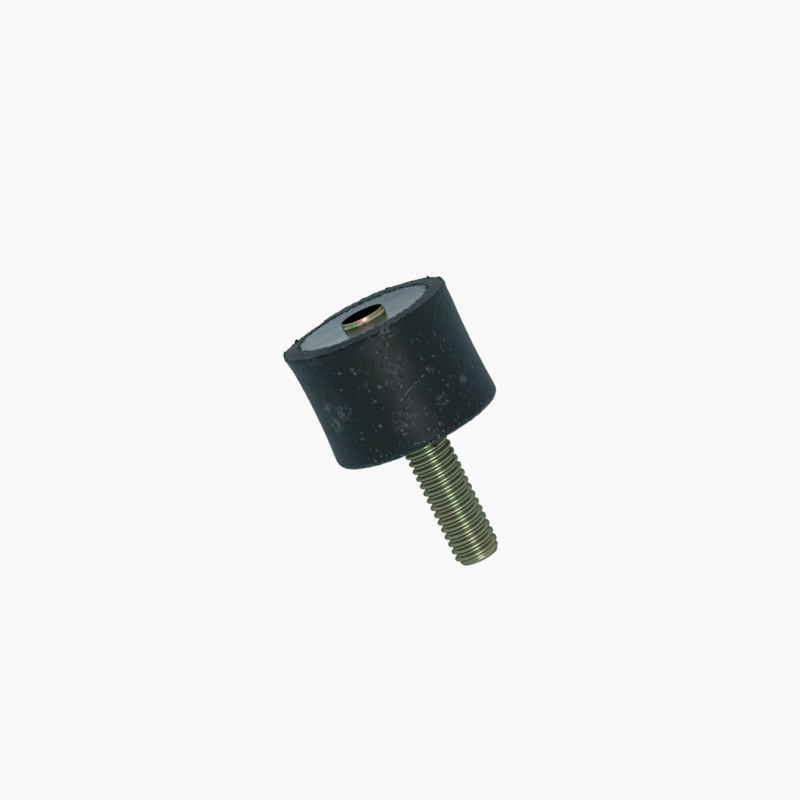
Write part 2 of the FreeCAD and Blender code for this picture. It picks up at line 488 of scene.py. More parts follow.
    def specks(
        self, tree: NodeTree, place: NodeSocket, crowd: Source, shift: Place, cell_mm: float
    ) -> Source:
        """Adds ragged specks, more of them where they crowd.

        Args:
            tree: the material's tree.
            place: the surface point in millimetres.
            crowd: how crowded they are, from 0 to 1.
            shift: moves all the specks, in millimetres.
            cell_mm: the room that one speck has.

        Returns:
            How much of a speck each point is, from 0 to 1.
        """
        warp = add_node(
            tree, "TexNoise", inputs={"Vector": place, "Scale": 4.5, "Detail": 3.0, "Roughness": 0.7}
        )
        bent = add_node(
            tree, "VectorMath", {"operation": "MULTIPLY_ADD"},
            {0: warp.outputs["Color"], 1: (0.5, 0.5, 0.5), 2: place},
        )
        moved = add_node(
            tree, "Mapping",
            inputs={"Vector": bent, "Location": shift},
        )
        cells = add_node(
            tree, "TexVoronoi", {"distance": "CHEBYCHEV"},
            {"Vector": moved.outputs["Vector"], "Scale": 1 / cell_mm},
        )
        chips = add_node(
            tree, "TexNoise", inputs={"Vector": moved.outputs["Vector"], "Scale": 2.6, "Detail": 3.0}
        )
        broken = add_node(
            tree, "MapRange", inputs={"Value": chips.outputs["Fac"], "From Min": 0.42, "From Max": 0.54}
        )
        chance = add_node(tree, "SeparateColor", inputs={"Color": cells.outputs["Color"]})
        here = add_node(
            tree, "Math", {"operation": "ADD"}, {0: chance.outputs["Red"], 1: crowd}
        )
        shown = add_node(
            tree, "MapRange", inputs={"Value": here, "From Min": 0.85, "From Max": 1.3}
        )
        size = add_node(
            tree, "MapRange",
            inputs={"Value": chance.outputs["Green"], "To Min": 0.16, "To Max": 0.34},
        )
        near = add_node(
            tree, "Math", {"operation": "DIVIDE"},
            {0: cells.outputs["Distance"], 1: size},
        )
        dot = add_node(
            tree, "MapRange",
            inputs={"Value": near, "From Min": 0.55, "From Max": 1.0, "To Min": 1.0, "To Max": 0.0},
        )
        whole = add_node(tree, "Math", {"operation": "MULTIPLY"}, {0: shown, 1: dot})
        return add_node(tree, "Math", {"operation": "MULTIPLY"}, {0: whole, 1: broken})

    def torn_ends(self, tree: NodeTree, axes: Node) -> Source:
        """Finds the edges where flash was torn off: the foot, and both edges of the top lip.

        Args:
            tree: the material's tree.
            axes: the surface point in millimetres, taken apart.

        Returns:
            How crowded with crumbs each point is, from 0 to about 0.8.
        """
        from_middle = add_node(
            tree, "Math", {"operation": "SUBTRACT"}, {0: from_axis(tree, axes), 1: self.lip_middle}
        )
        apart = add_node(tree, "Math", {"operation": "ABSOLUTE"}, {0: from_middle})
        edges = add_node(tree, "MapRange", inputs={"Value": apart, "From Min": 0.6, "From Max": 1.25})
        height = axes.outputs["Z"]
        foot = add_node(
            tree, "MapRange",
            inputs={"Value": height, "From Min": 0.4, "From Max": 3.0, "To Min": 1.0, "To Max": 0.0},
        )
        top = add_node(
            tree, "MapRange",
            inputs={"Value": height, "From Min": 20.75, "From Max": 21.1, "To Min": 0.0, "To Max": 0.75},
        )
        return add_node(tree, "Math", {"operation": "MULTIPLY_ADD"}, {0: top, 1: edges, 2: foot})

    def make(self) -> Material:
        """Builds the material."""
        material, surface, place = start_material("moulded_natural_rubber")
        tree = material.node_tree
        axes = add_node(tree, "SeparateXYZ", inputs={"Vector": place})
        mottle = add_node(
            tree, "TexNoise",
            inputs={"Vector": place, "Scale": 1 / self.mottle_mm, "Detail": 5.0, "Roughness": 0.6},
        )
        grain = add_node(
            tree, "TexNoise",
            inputs={"Vector": place, "Scale": 1 / self.grain_mm, "Detail": 2.0, "Roughness": 0.6},
        )
        tint = add_node(
            tree, "MapRange",
            inputs={"Value": mottle.outputs["Fac"], "From Min": 0.38, "From Max": 0.62},
        )
        colour = add_node(
            tree, "Mix", {"data_type": "RGBA"},
            {0: tint.outputs["Result"], 6: linear(self.body), 7: linear(self.warm)},
        )
        patches = add_node(tree, "SeparateColor", inputs={"Color": mottle.outputs["Color"]})
        mossy = add_node(
            tree, "MapRange", inputs={"Value": patches.outputs["Green"], "From Min": 0.5, "From Max": 0.62}
        )
        mixed = add_node(
            tree, "Mix", {"data_type": "RGBA"},
            {0: mossy, 6: colour.outputs[2], 7: linear(self.moss)},
        )
        # Painted sheen: where the surface is seen edge-on, its colour turns teal, as if it reflected the white
        # surroundings.
        facing = add_node(tree, "LayerWeight", inputs={"Blend": 0.5})
        slanted = add_node(
            tree, "Math", {"operation": "POWER"}, {0: facing.outputs["Facing"], 1: 2.0}
        )
        streaks = add_node(
            tree, "TexNoise", inputs={"Vector": place, "Scale": 0.9, "Detail": 6.0, "Roughness": 0.75}
        )
        uneven = add_node(
            tree, "MapRange",
            inputs={
                "Value": streaks.outputs["Fac"], "From Min": 0.35, "From Max": 0.65,
                "To Min": 0.6, "To Max": 1.3,
            },
        )
        capped_edge_sheen = add_node(
            tree, "Math", {"operation": "MINIMUM"}, {0: slanted, 1: self.strongest_edge_sheen}
        )
        painted_edge_sheen = add_node(
            tree, "Math", {"operation": "MULTIPLY"}, {0: capped_edge_sheen, 1: uneven}
        )
        sheen_painted = add_node(
            tree, "Mix", {"data_type": "RGBA"},
            {0: painted_edge_sheen, 6: mixed.outputs[2], 7: linear(self.edge)},
        )
        ends = self.torn_ends(tree, axes)
        cluster = add_node(
            tree, "TexNoise", inputs={"Vector": place, "Scale": 0.3, "Detail": 3.0, "Roughness": 0.6}
        )
        crowd = add_node(
            tree, "MapRange",
            inputs={
                "Value": cluster.outputs["Fac"], "From Min": 0.4, "From Max": 0.65,
                "To Min": 0.2, "To Max": 0.8,
            },
        )
        # Dark pits just beside the dust specks, which use the same cells: each is a small dent and also a
        # painted shadow by its speck.
        shadowing_pits = self.specks(tree, place, crowd, (0.2, 0.16, -0.2), self.dust_cell_mm)
        lone_pits = self.specks(tree, place, crowd, (31.3, 7.1, 3.7), self.dust_cell_mm)
        marked = sheen_painted.outputs[2]
        for spots, code, amount in (
            (shadowing_pits, self.pit, 1.0),
            (lone_pits, self.pit, 1.0),
            (self.specks(tree, place, ends, (11.3, 17.1, 5.7), self.crumb_cell_mm), self.pit, 1.0),
            # Scuffs, and the painted highlight band down the front.
            (self.scuffs_and_highlight_band(tree, place), self.pale_mark, 1.0),
            (self.scratched(tree, place), self.pale_mark, 1.0),
            (self.specks(tree, place, crowd, (0.0, 0.0, 0.0), self.dust_cell_mm), self.dust, 0.9),
            (self.specks(tree, place, ends, (0.7, 0.3, 0.9), self.crumb_cell_mm), self.crumb, 0.8),
        ):
            share = add_node(tree, "Math", {"operation": "MULTIPLY"}, {0: spots, 1: amount})
            marked = add_node(
                tree, "Mix", {"data_type": "RGBA"}, {0: share, 6: marked, 7: linear(code)}
            ).outputs[2]
        pits = add_node(tree, "Math", {"operation": "MAXIMUM"}, {0: shadowing_pits, 1: lone_pits})
        relief = add_node(tree, "Math", {"operation": "SUBTRACT"}, {0: grain.outputs["Fac"], 1: pits})
        bump = add_node(
            tree, "Bump",
            inputs={"Height": relief, "Distance": self.bump_mm * MM, "Strength": 0.6},
        )
        gloss = add_node(
            tree, "MapRange",
            inputs={
                "Value": mottle.outputs["Fac"], "From Min": 0.3, "From Max": 0.7,
                "To Min": self.roughness - 0.08, "To Max": self.roughness + 0.12,
            },
        )
        looks = {
            "Base Color": marked, "Roughness": gloss, "Normal": bump, "Coat Normal": bump, "IOR": self.ior,
            "Specular IOR Level": self.gloss_level, "Coat Weight": self.bloom,
            "Coat Roughness": self.bloom_roughness,
        }
        feed(tree, surface, looks)
        return material


@dataclass(frozen=True)
class PhosphatedSteel:
    """Sheet steel, phosphated and wiped with primer: a satin blue-grey with dull, mirrored light."""

    grey: str = "#88979A"
    dull: str = "#686E78"
    grazing: str = "#B6C2C7"
    speck: str = "#C6D2D3"
    smut: str = "#1A2426"
    roughness: float = 0.1
    cloud_mm: float = 7.0
    # One cell of bled rubber crumbs, drawn coarser than the real 0.2 mm so that they show at this slant.
    speck_cell_mm: float = 0.5
    # Rubber bleeds over the outermost ring of the plate, from this radius outward.
    bleed_radius: float = 10.5

    def make(self) -> Material:
        """Builds the material."""
        material, surface, place = start_material("phosphated_sheet_steel")
        tree = material.node_tree
        cloud = add_node(
            tree, "TexNoise",
            inputs={"Vector": place, "Scale": 1 / self.cloud_mm, "Detail": 5.0, "Roughness": 0.55},
        )
        axes = add_node(tree, "SeparateXYZ", inputs={"Vector": place})
        # Painted shade: the cloudy primer tone is pushed darker towards +X, so that side of the plate reads as
        # less lit.
        cloud_and_side_shade = add_node(
            tree, "Math", {"operation": "MULTIPLY_ADD"},
            {0: axes.outputs["X"], 1: 0.02, 2: cloud.outputs["Fac"]},
        )
        share = add_node(
            tree, "MapRange", inputs={"Value": cloud_and_side_shade, "From Min": 0.3, "From Max": 0.7}
        )
        colour = add_node(
            tree, "Mix", {"data_type": "RGBA"},
            {0: share, 6: linear(self.grey), 7: linear(self.dull)},
        )
        edge = add_node(
            tree, "MapRange",
            inputs={
                "Value": from_axis(tree, axes), "From Min": self.bleed_radius,
                "From Max": self.bleed_radius + 0.8, "To Min": -0.22, "To Max": 0.34,
            },
        )
        warp = add_node(
            tree, "TexNoise", inputs={"Vector": place, "Scale": 2.5, "Detail": 3.0, "Roughness": 0.7}
        )
        ragged = add_node(
            tree, "VectorMath", {"operation": "MULTIPLY_ADD"},
            {0: warp.outputs["Color"], 1: (0.7, 0.7, 0.7), 2: place},
        )
        cells = add_node(
            tree, "TexVoronoi", {"distance": "CHEBYCHEV"},
            {"Vector": ragged, "Scale": 1 / self.speck_cell_mm},
        )
        chance = add_node(tree, "SeparateColor", inputs={"Color": cells.outputs["Color"]})
        dot = add_node(
            tree, "MapRange",
            inputs={
                "Value": cells.outputs["Distance"], "From Min": 0.3, "From Max": 0.45,
                "To Min": 1.0, "To Max": 0.0,
            },
        )
        painted = colour.outputs[2]
        for channel, code in (("Red", self.speck), ("Green", self.smut)):
            likely = add_node(tree, "Math", {"operation": "ADD"}, {0: chance.outputs[channel], 1: edge})
            shown = add_node(
                tree, "MapRange", inputs={"Value": likely, "From Min": 0.76, "From Max": 0.9}
            )
            amount = add_node(
                tree, "Math", {"operation": "MULTIPLY"}, {0: shown, 1: dot}
            )
            painted = add_node(
                tree, "Mix", {"data_type": "RGBA"}, {0: amount, 6: painted, 7: linear(code)}
            ).outputs[2]
        gloss = add_node(
            tree, "MapRange",
            inputs={
                "Value": edge, "From Min": -0.2, "From Max": 0.34,
                "To Min": self.roughness, "To Max": self.roughness + 0.25,
            },
        )
        looks = {
            "Base Color": painted, "Roughness": gloss, "Metallic": 1.0, "Specular Tint": linear(self.grazing),
        }
        feed(tree, surface, looks)
        return material


@dataclass(frozen=True)
class YellowPassivatedZinc:
    """Steel, zinc plated and yellow passivated: a satin olive gold that drifts to green and copper."""

    name: str
    gold: str = "#7B806A"
    green: str = "#727F69"
    copper: str = "#7F7A68"
    grazing: str = "#8A938A"
    # Stains of the passivation film, and on the bush one painted highlight: place in millimetres, reach and
    # colour.
    stains_and_highlight: tuple[tuple[Place, float, str], ...] = ()
    # How far the grain pulls a stain's edge out.
    stain_rag: float = 0.6
    roughness: float = 0.3
    drift_mm: float = 3.0
    # Plating grain is a few hundredths of a millimetre, drawn at 0.2 mm so that it shows.
    grain_mm: float = 0.2
    bump_mm: float = 0.012

    def make(self) -> Material:
        """Builds the material."""
        material, surface, place = start_material(self.name)
        tree = material.node_tree
        drift = add_node(
            tree, "TexNoise",
            inputs={"Vector": place, "Scale": 1 / self.drift_mm, "Detail": 3.0, "Roughness": 0.5},
        )
        grain = add_node(
            tree, "TexNoise",
            inputs={"Vector": place, "Scale": 1 / self.grain_mm, "Detail": 2.0, "Roughness": 0.6},
        )
        to_green = add_node(
            tree, "MapRange",
            inputs={"Value": drift.outputs["Fac"], "From Min": 0.45, "From Max": 0.62},
        )
        to_copper = add_node(
            tree, "MapRange",
            inputs={
                "Value": drift.outputs["Fac"], "From Min": 0.30, "From Max": 0.42,
                "To Min": 1.0, "To Max": 0.0,
            },
        )
        greened = add_node(
            tree, "Mix", {"data_type": "RGBA"},
            {0: to_green, 6: linear(self.gold), 7: linear(self.green)},
        )
        coppered = add_node(
            tree, "Mix", {"data_type": "RGBA"},
            {0: to_copper, 6: greened.outputs[2], 7: linear(self.copper)},
        )
        plated = coppered.outputs[2]
        for centre, reach, code in self.stains_and_highlight:
            away = add_node(tree, "VectorMath", {"operation": "DISTANCE"}, {0: place, 1: centre})
            ragged = add_node(
                tree, "Math", {"operation": "MULTIPLY_ADD"},
                {0: grain.outputs["Fac"], 1: self.stain_rag, 2: away.outputs["Value"]},
            )
            mean = self.stain_rag / 2
            share = add_node(
                tree, "MapRange", {"interpolation_type": "SMOOTHSTEP"},
                {
                    "Value": ragged, "From Min": mean + reach * 0.2, "From Max": mean + reach,
                    "To Min": 1.0, "To Max": 0.0,
                },
            )
            plated = add_node(
                tree, "Mix", {"data_type": "RGBA"}, {0: share, 6: plated, 7: linear(code)}
            ).outputs[2]
        gloss = add_node(
            tree, "MapRange",
            inputs={
                "Value": grain.outputs["Fac"], "From Min": 0.3, "From Max": 0.7,
                "To Min": self.roughness - 0.05, "To Max": self.roughness + 0.08,
            },
        )
        bump = add_node(
            tree, "Bump",
            inputs={"Height": grain.outputs["Fac"], "Distance": self.bump_mm * MM, "Strength": 0.5},
        )
        looks = {
            "Base Color": plated, "Roughness": gloss, "Normal": bump, "Metallic": 1.0,
            "Specular Tint": linear(self.grazing),
        }
        feed(tree, surface, looks)
        return material


@dataclass(frozen=True)
class ShadedBore:
    """The bush's bore painted near black and only faintly shiny: painted shade in the hole, in place of the
    steel's own colour.
    """

    black: str = "#020304"
    streak: str = "#070506"
    roughness: float = 0.8
    gloss_level: float = 0.004

    def make(self) -> Material:
        """Builds the material."""
        material, surface, place = start_material("painted_shade_bore")
        tree = material.node_tree
        smear = add_node(
            tree, "TexNoise", inputs={"Vector": place, "Scale": 1.2, "Detail": 4.0, "Roughness": 0.6}
        )
        colour = add_node(
            tree, "Mix", {"data_type": "RGBA"},
            {0: smear.outputs["Fac"], 6: linear(self.black), 7: linear(self.streak)},
        )
        looks = {
            "Base Color": colour.outputs[2], "Roughness": self.roughness,
            "Specular IOR Level": self.gloss_level,
        }
        feed(tree, surface, looks)
        return material


@dataclass(frozen=True)
class RimLump:
    """A rise or dip of the rubber's top rim round one angle, in degrees and millimetres."""

    angle: float
    height: float
    width: float

    def at(self, angle: float) -> float:
        """Gives the rise at an angle."""
        away = (angle - self.angle + 180.0) % 360.0 - 180.0
        return self.height * math.exp(-((away / self.width) ** 4))


@dataclass
class RubberMoulding:
    """The rubber cylinder, moulded round the plates, the bush's barrel and the stud's head."""

    radius: float = 14.8
    height: float = 21.2
    waist_depth: float = 0.35
    foot_round: float = 1.2
    lip_inner: float = 11.95
    plate_radius: float = 11.8
    plate_thickness: float = 2.0
    plate_face: float = 21.05
    rim_radius: float = 14.65
    flare_radius: float = 14.94
    flare_height: float = 20.75
    barrel_radius: float = 6.4
    barrel_foot: float = 10.2
    head_radius: float = 7.4
    head_top: float = 6.0
    steps: int = 720
    wall_rows: int = 36
    # The wall ends at one height and the flare begins at the next.
    wall_top: float = 20.2
    flare_foot: float = 20.5
    # Only the rim outside this radius is ragged.
    ragged_radius: float = 14.0
    # Between these radii the lip goes over from the plate's dished rim to the outer rim.
    lip_start: float = 12.3
    lip_end: float = 14.3
    # The wall sits a little to one side of the inserts, as such mouldings do.
    offset: float = 0.18
    # Torn scraps of flash on the rim.
    nubs: tuple[RimLump, ...] = (
        RimLump(144.3, 0.42, 2.0),
        RimLump(169.2, 0.3, 2.0),
        RimLump(178.0, 0.38, 3.0),
        RimLump(188.0, 0.3, 4.0),
        RimLump(28.7, 0.35, 1.5),
        RimLump(66.5, 0.12, 1.2),
        RimLump(7.0, 0.22, 8.0),
    )
    # Slow rises and dips of the whole rim.
    swells: tuple[RimLump, ...] = (
        RimLump(137.0, -0.3, 22.0),
        RimLump(82.0, 0.22, 26.0),
        RimLump(255.0, -0.12, 38.0),
    )
    # The lip's inner edge follows the plate's dished rim, and falls off outward.
    inner_rise: float = 0.26

    def outline(self) -> Outline:
        """Gives the rubber's half section, from the axis over the barrel, round the outside, and back."""
        seat = self.plate_face - self.plate_thickness
        top, rows = self.wall_top, self.wall_rows
        wall = [(self.radius, top - (top - self.foot_round) * i / rows) for i in range(rows + 1)]
        lip = [(r, self.height) for r in (12.4, 12.9, 13.4, 13.9, self.lip_end)]
        return [
            (0.0, self.barrel_foot),
            (self.barrel_radius, self.barrel_foot),
            (self.barrel_radius, seat),
            (self.plate_radius, seat),
            (self.plate_radius, self.plate_face - 0.1),
            (self.plate_radius - 0.12, self.plate_face - 0.03),
            (self.plate_radius - 0.10, self.plate_face + 0.03),
            (self.lip_inner - 0.05, self.height - 0.08),
            (self.lip_inner + 0.1, self.height),
            *lip,
            (self.rim_radius - 0.1, self.height),
            (self.rim_radius + 0.02, self.height + 0.02),
            (self.rim_radius + 0.12, self.height - 0.08),
            (self.flare_radius, self.flare_height),
            *wall,
            (self.radius, 0.0),
            (self.plate_radius, 0.0),
            (self.plate_radius, self.plate_thickness),
            (self.head_radius, self.plate_thickness),
            (self.head_radius, self.head_top),
            (0.0, self.head_top),
        ]

    def reshape(self, point: Vector, radius: float, height: float) -> tuple[float, float]:
        """Gives the moulding its waist, lumps, ragged flash and scalloped lip."""
        angle = math.degrees(math.atan2(point.y, point.x)) % 360.0
        if radius > self.radius - 2.0 and height < self.flare_foot:
            middle = (self.wall_top + self.foot_round) / 2
            half = (self.wall_top - self.foot_round) / 2
            share = (height - middle) / half
            radius -= self.waist_depth * max(0.0, 1.0 - share * share)
            radius += 0.05 * ripple(point, 5.0, 2.0) + 0.018 * ripple(point, 1.1, 5.0)
            foot = 1.0 - smooth_step(height, 0.0, 1.6)
            radius += foot * 0.06 * ripple(point, 0.8, 9.0)
            height += foot * 0.08 * ripple(point, 0.9, 4.0)
            lean = self.offset * (1.0 - smooth_step(height, 17.5, 20.6))
            radius += lean * math.cos(math.radians(angle))
        elif height > self.flare_foot and radius > self.ragged_radius:
            radius += 0.04 * ripple(point, 1.4, 7.0)
            if height > self.height - 0.2:
                rag = 0.03 + 0.10 * ripple(point, 1.3, 3.0) + 0.08 * ripple(point, 0.4, 6.0)
                rag += sum(nub.at(angle) for nub in self.nubs)
                tip = smooth_step(radius, self.rim_radius - 0.1, self.rim_radius)
                height += max(-0.05, rag) * tip
            height += sum(swell.at(angle) for swell in self.swells)
        elif height > self.plate_face - 0.05 and radius < self.lip_start:
            creep = 0.28 * ripple(point, 1.5, 1.0) + 0.2 * ripple(point, 0.5, 8.0)
            height += self.inner_rise
            height += 0.22 * ripple(point, 0.55, 2.5) * (height > self.plate_face + self.inner_rise + 0.02)
            radius += creep - 0.1
        elif height > self.plate_face:
            share = smooth_step(radius, self.lip_start, self.lip_end)
            swelling = sum(swell.at(angle) for swell in self.swells)
            height += 0.04 * ripple(point, 1.5, 6.5) + share * swelling
            height += (1.0 - share) * self.inner_rise
        return min(radius, self.flare_radius), height

    def build(self, finish: Material) -> Object:
        """Builds and dresses the rubber.

        Args:
            finish: the rubber's material.

        Returns:
            The piece.
        """
        mesh = turn(self.outline(), self.steps)
        round_rings(mesh, [(self.radius, 0.0)], self.foot_round * 0.95, 5)
        shape(mesh, self.reshape)
        return finish_piece(mesh, "rubber_moulding", "rubber_body", Slot.RUBBER, [finish])


class End(Enum):
    """Which end of the mount a plate closes."""

    TOP = "top_plate"
    BASE = "base_plate"


@dataclass
class BondedPlate:
    """A steel washer bonded into one end of the rubber, flat or a little dished."""

    end: End
    lower_face: float
    hole_radius: float
    radius: float = 11.8
    thickness: float = 2.0
    # How far the outer face is dished: the rise of its edge, which starts at the flat radius.
    dish: float = 0.0
    flat_radius: float = 4.5
    edge_round: float = 0.12
    steps: int = 192
    rings: int = 40

    def reshape(self, point: Vector, radius: float, height: float) -> tuple[float, float]:
        """Dishes the outer face a little, as the staking of the bush leaves it."""
        del point
        share = max(0.0, radius - self.flat_radius) / (self.radius - self.flat_radius)
        face = smooth_step(height, self.lower_face + self.thickness - 0.2, self.lower_face + self.thickness)
        return radius, height + self.dish * share * share * face

    def build(self, finish: Material) -> Object:
        """Builds and dresses the plate.

        Args:
            finish: the plate's material.

        Returns:
            The piece.
        """
        low, high = self.lower_face, self.lower_face + self.thickness
        width = self.radius - self.hole_radius
        across = [self.hole_radius + width * i / self.rings for i in range(self.rings + 1)]
        outline = [(r, high) for r in across] + [(r, low) for r in reversed(across)]
        mesh = turn(outline, self.steps, closed=True)
        corners = [(r, z) for r in (self.hole_radius, self.radius) for z in (low, high)]
        round_rings(mesh, corners, self.edge_round, 3)
        shape(mesh, self.reshape)
        name = f"bonded_{self.end.value}"
        return finish_piece(mesh, name, self.end.value, Slot.PLATE, [finish])


def hexagon_radius(point: Vector, across_flats: float) -> float:
    """Gives the distance from the axis to a hexagon's side in the direction of a point."""
    sixth = FULL_TURN / 6
    off = (math.atan2(point.y, point.x) + sixth / 2) % sixth - sixth / 2
    return across_flats / 2 / math.cos(off)


@dataclass
class TappedBush:
    """The tapped bush: a hexagonal barrel, a neck staked through the plate, and a rolled collar."""

    top: float = 22.0
    plate_face: float = 21.05
    seat: float = 19.05
    neck_radius: float = 3.8
    collar_radius: float = 3.97
    mouth_radius: float = 3.7
    mouth_foot: float = 20.2
    minor_radius: float = 2.6
    major_radius: float = 3.15
    pitch: float = 1.27
    bore_foot: float = 13.4
    drill_depth: float = 1.56
    barrel_across_flats: float = 11.0
    barrel_foot: float = 10.2
    barrel_chamfer: float = 0.5
    # The collar's outside from its foot up: how far in from its widest, and how far above the plate.
    collar_form: tuple[tuple[float, float], ...] = (
        (0.04, 0.01), (0.0, 0.06), (0.03, 0.15), (0.08, 0.26), (0.12, 0.38), (0.145, 0.52), (0.155, 0.68),
    )
    thread_crest: float = 0.16
    thread_turns: int = 6
    thread_steps: int = 96
    # How far below the top the thread is cut off: there the mouth is as wide as the ridge is deep, and past
    # it the ridge would be pressed flat.
    thread_stop: float = 0.85
    steps: int = 192

    def bore(self) -> Outline:
        """Gives the half section of the blind bore, from its mouth to the drill point."""
        meeting = self.mouth_foot + (self.major_radius - self.minor_radius) / self.mouth_slope()
        return [
            (self.mouth_radius, self.top - 0.02),
            (self.major_radius, meeting),
            (self.major_radius, self.bore_foot),
            (self.minor_radius, self.bore_foot - 0.2),
            (0.0, self.bore_foot - self.drill_depth),
        ]

    def mouth_slope(self) -> float:
        """Gives how fast the mouth opens with height."""
        return (self.mouth_radius - self.minor_radius) / (self.top - self.mouth_foot)

    def clear_mouth(self, point: Vector, radius: float, height: float) -> tuple[float, float]:
        """Keeps the thread out of the flared mouth."""
        del point
        floor = self.minor_radius + max(0.0, height - self.mouth_foot) * self.mouth_slope()
        return max(radius, floor + 0.01), height

    def reshape(self, point: Vector, radius: float, height: float) -> tuple[float, float]:
        """Makes the barrel hexagonal and gives the staked collar its slight unevenness."""
        if height < self.seat + 0.01 and radius > self.major_radius + 0.3:
            flat = hexagon_radius(point, self.barrel_across_flats)
            return min(flat, radius), height
        if height > self.plate_face and radius > self.mouth_radius - 0.02:
            lean = 0.015 * ripple(point, 1.6, 3.0)
            return min(self.collar_radius, radius + lean), height + 0.012 * ripple(point, 1.2, 6.0) - 0.01
        return radius, height

    def build(self, plating: Material, bore_finish: Material) -> Object:
        """Builds and dresses the bush.

        Args:
            plating: the material of its outside.
            bore_finish: the material of its bore.

        Returns:
            The piece.
        """
        corner = self.barrel_across_flats / math.sqrt(3.0)
        outside = [
            (0.0, self.barrel_foot),
            (corner - self.barrel_chamfer * 1.7, self.barrel_foot),
            (corner, self.barrel_foot + self.barrel_chamfer),
            (corner, self.seat),
            (self.neck_radius, self.seat),
            (self.neck_radius, self.plate_face),
            *((self.collar_radius - inset, self.plate_face + rise) for inset, rise in self.collar_form),
            (self.collar_radius - 0.165, self.top - 0.1),
            (self.collar_radius - 0.19, self.top - 0.03),
            (self.collar_radius - 0.23, self.top),
            (self.mouth_radius + 0.02, self.top),
        ]
        body = turn(outside + self.bore(), self.steps)
        shape(body, self.reshape)
        half = self.pitch / 2
        ridge = [
            (self.major_radius + 0.1, -half * 0.9),
            (self.minor_radius, -self.thread_crest / 2),
            (self.minor_radius, self.thread_crest / 2),
            (self.major_radius + 0.1, half * 0.9),
        ]
        start = self.bore_foot + 0.3
        outline = [(r, z + start) for r, z in ridge]
        thread = turn(outline, self.thread_steps, self.pitch, self.thread_turns, closed=True)
        bmesh.ops.holes_fill(thread, edges=[e for e in thread.edges if e.is_boundary], sides=0)
        trim(thread, self.top - self.thread_stop, True)
        shape(thread, self.clear_mouth)
        whole = join([body, thread])

        def face_finish(centre: Vector) -> int:
            """Gives 1 for a face of the bore and 0 for the plated outside."""
            radius = centre.xy.length
            inside = radius < self.mouth_radius - 0.01 and self.bore_foot - 2.0 < centre.z
            return int(inside and (radius < self.major_radius + 0.2 or centre.z > self.mouth_foot))

        return finish_piece(
            whole, "tapped_bush", "threaded_bush", Slot.PASSIVATED, [plating, bore_finish], face_finish
        )


@dataclass
class ThreadedStud:
    """The stud: a rolled thread below the base plate, a plain neck through it and a hexagonal head."""

    crest_radius: float = 4.03
    root_radius: float = 3.41
    pitch: float = 25.4 / 18
    crest_flat: float = 0.36
    root_flat: float = 0.36
    rounding: float = 0.14
    # Height of the thread's crest at +X, with one crest every pitch below and above it.
    phase: float = -5.7666
    tip: float = -24.7
    point_radius: float = 3.25
    point_length: float = 1.3
    runout: float = 1.0
    runout_radius: float = 3.9
    # Whole turns of the thread, and how many of them start below the phase.
    turns: int = 20
    turns_below: int = 15
    neck_radius: float = 4.2
    plate_thickness: float = 2.0
    head_across_flats: float = 12.7
    head_top: float = 6.0
    head_chamfer: float = 0.6
    steps: int = 96

    def thread_outline(self) -> Outline:
        """Gives one pitch of the thread's half section, from the middle of a crest to the next."""
        flank = (self.pitch - self.crest_flat - self.root_flat) / 2
        half = self.crest_flat / 2
        return [
            (self.crest_radius, 0.0),
            (self.crest_radius, half),
            (self.root_radius, half + flank),
            (self.root_radius, half + flank + self.root_flat),
            (self.crest_radius, self.pitch - half),
            (self.crest_radius, self.pitch),
        ]

    def end_thread(self, point: Vector, radius: float, height: float) -> tuple[float, float]:
        """Tapers the point and runs the thread out below the plate."""
        slope = (self.crest_radius - self.point_radius) / self.point_length
        cone = self.point_radius + (height - self.tip) * slope
        radius += 0.012 * ripple(point, 0.7, 4.0)
        radius = min(radius, cone, self.crest_radius)
        fade = smooth_step(height, -self.runout, -0.2)
        return radius + (self.runout_radius - radius) * fade, height

    def shank(self) -> BMesh:
        """Builds the threaded length as one closed shell."""
        start = self.phase - self.pitch * self.turns_below
        outline = [(r, z + start) for r, z in self.thread_outline()]
        mesh = turn(outline, self.steps, self.pitch, self.turns)
        rise = self.pitch / self.steps
        helices = [
            e
            for e in mesh.edges
            if not e.is_boundary
            and abs(e.verts[0].co.z - e.verts[1].co.z) < 2 * rise
            and e.calc_face_angle(0.0) > 0.2
        ]
        bmesh.ops.bevel(
            mesh, geom=helices, offset=self.rounding, offset_type="OFFSET", segments=3, profile=0.5,
            affect="EDGES", clamp_overlap=True, material=-1,
        )
        trim(mesh, 0.4, True)
        trim(mesh, self.tip, False)
        shape(mesh, self.end_thread)
        return mesh

    def head(self) -> BMesh:
        """Builds the neck and the hexagonal head as one closed shell."""
        corner = self.head_across_flats / math.sqrt(3.0)
        outline = [
            (0.0, 0.02),
            (self.neck_radius - 0.15, 0.02),
            (self.neck_radius, 0.17),
            (self.neck_radius, self.plate_thickness),
            (corner, self.plate_thickness),
            (corner, self.head_top - self.head_chamfer),
            (corner - self.head_chamfer * 1.7, self.head_top),
            (0.0, self.head_top),
        ]
        mesh = turn(outline, self.steps)

        def to_hexagon(point: Vector, radius: float, height: float) -> tuple[float, float]:
            """Brings the head's round outside in to its six sides."""
            if height > self.plate_thickness - 0.01 and radius > self.neck_radius + 0.1:
                radius = min(radius, hexagon_radius(point, self.head_across_flats))
            return radius, height

        shape(mesh, to_hexagon)
        return mesh

    def build(self, plating: Material) -> Object:
        """Builds and dresses the stud.

        Args:
            plating: the stud's material.

        Returns:
            The piece.
        """
        whole = join([self.shank(), self.head()])
        return finish_piece(whole, "rolled_thread_stud", "threaded_stud", Slot.PASSIVATED, [plating])


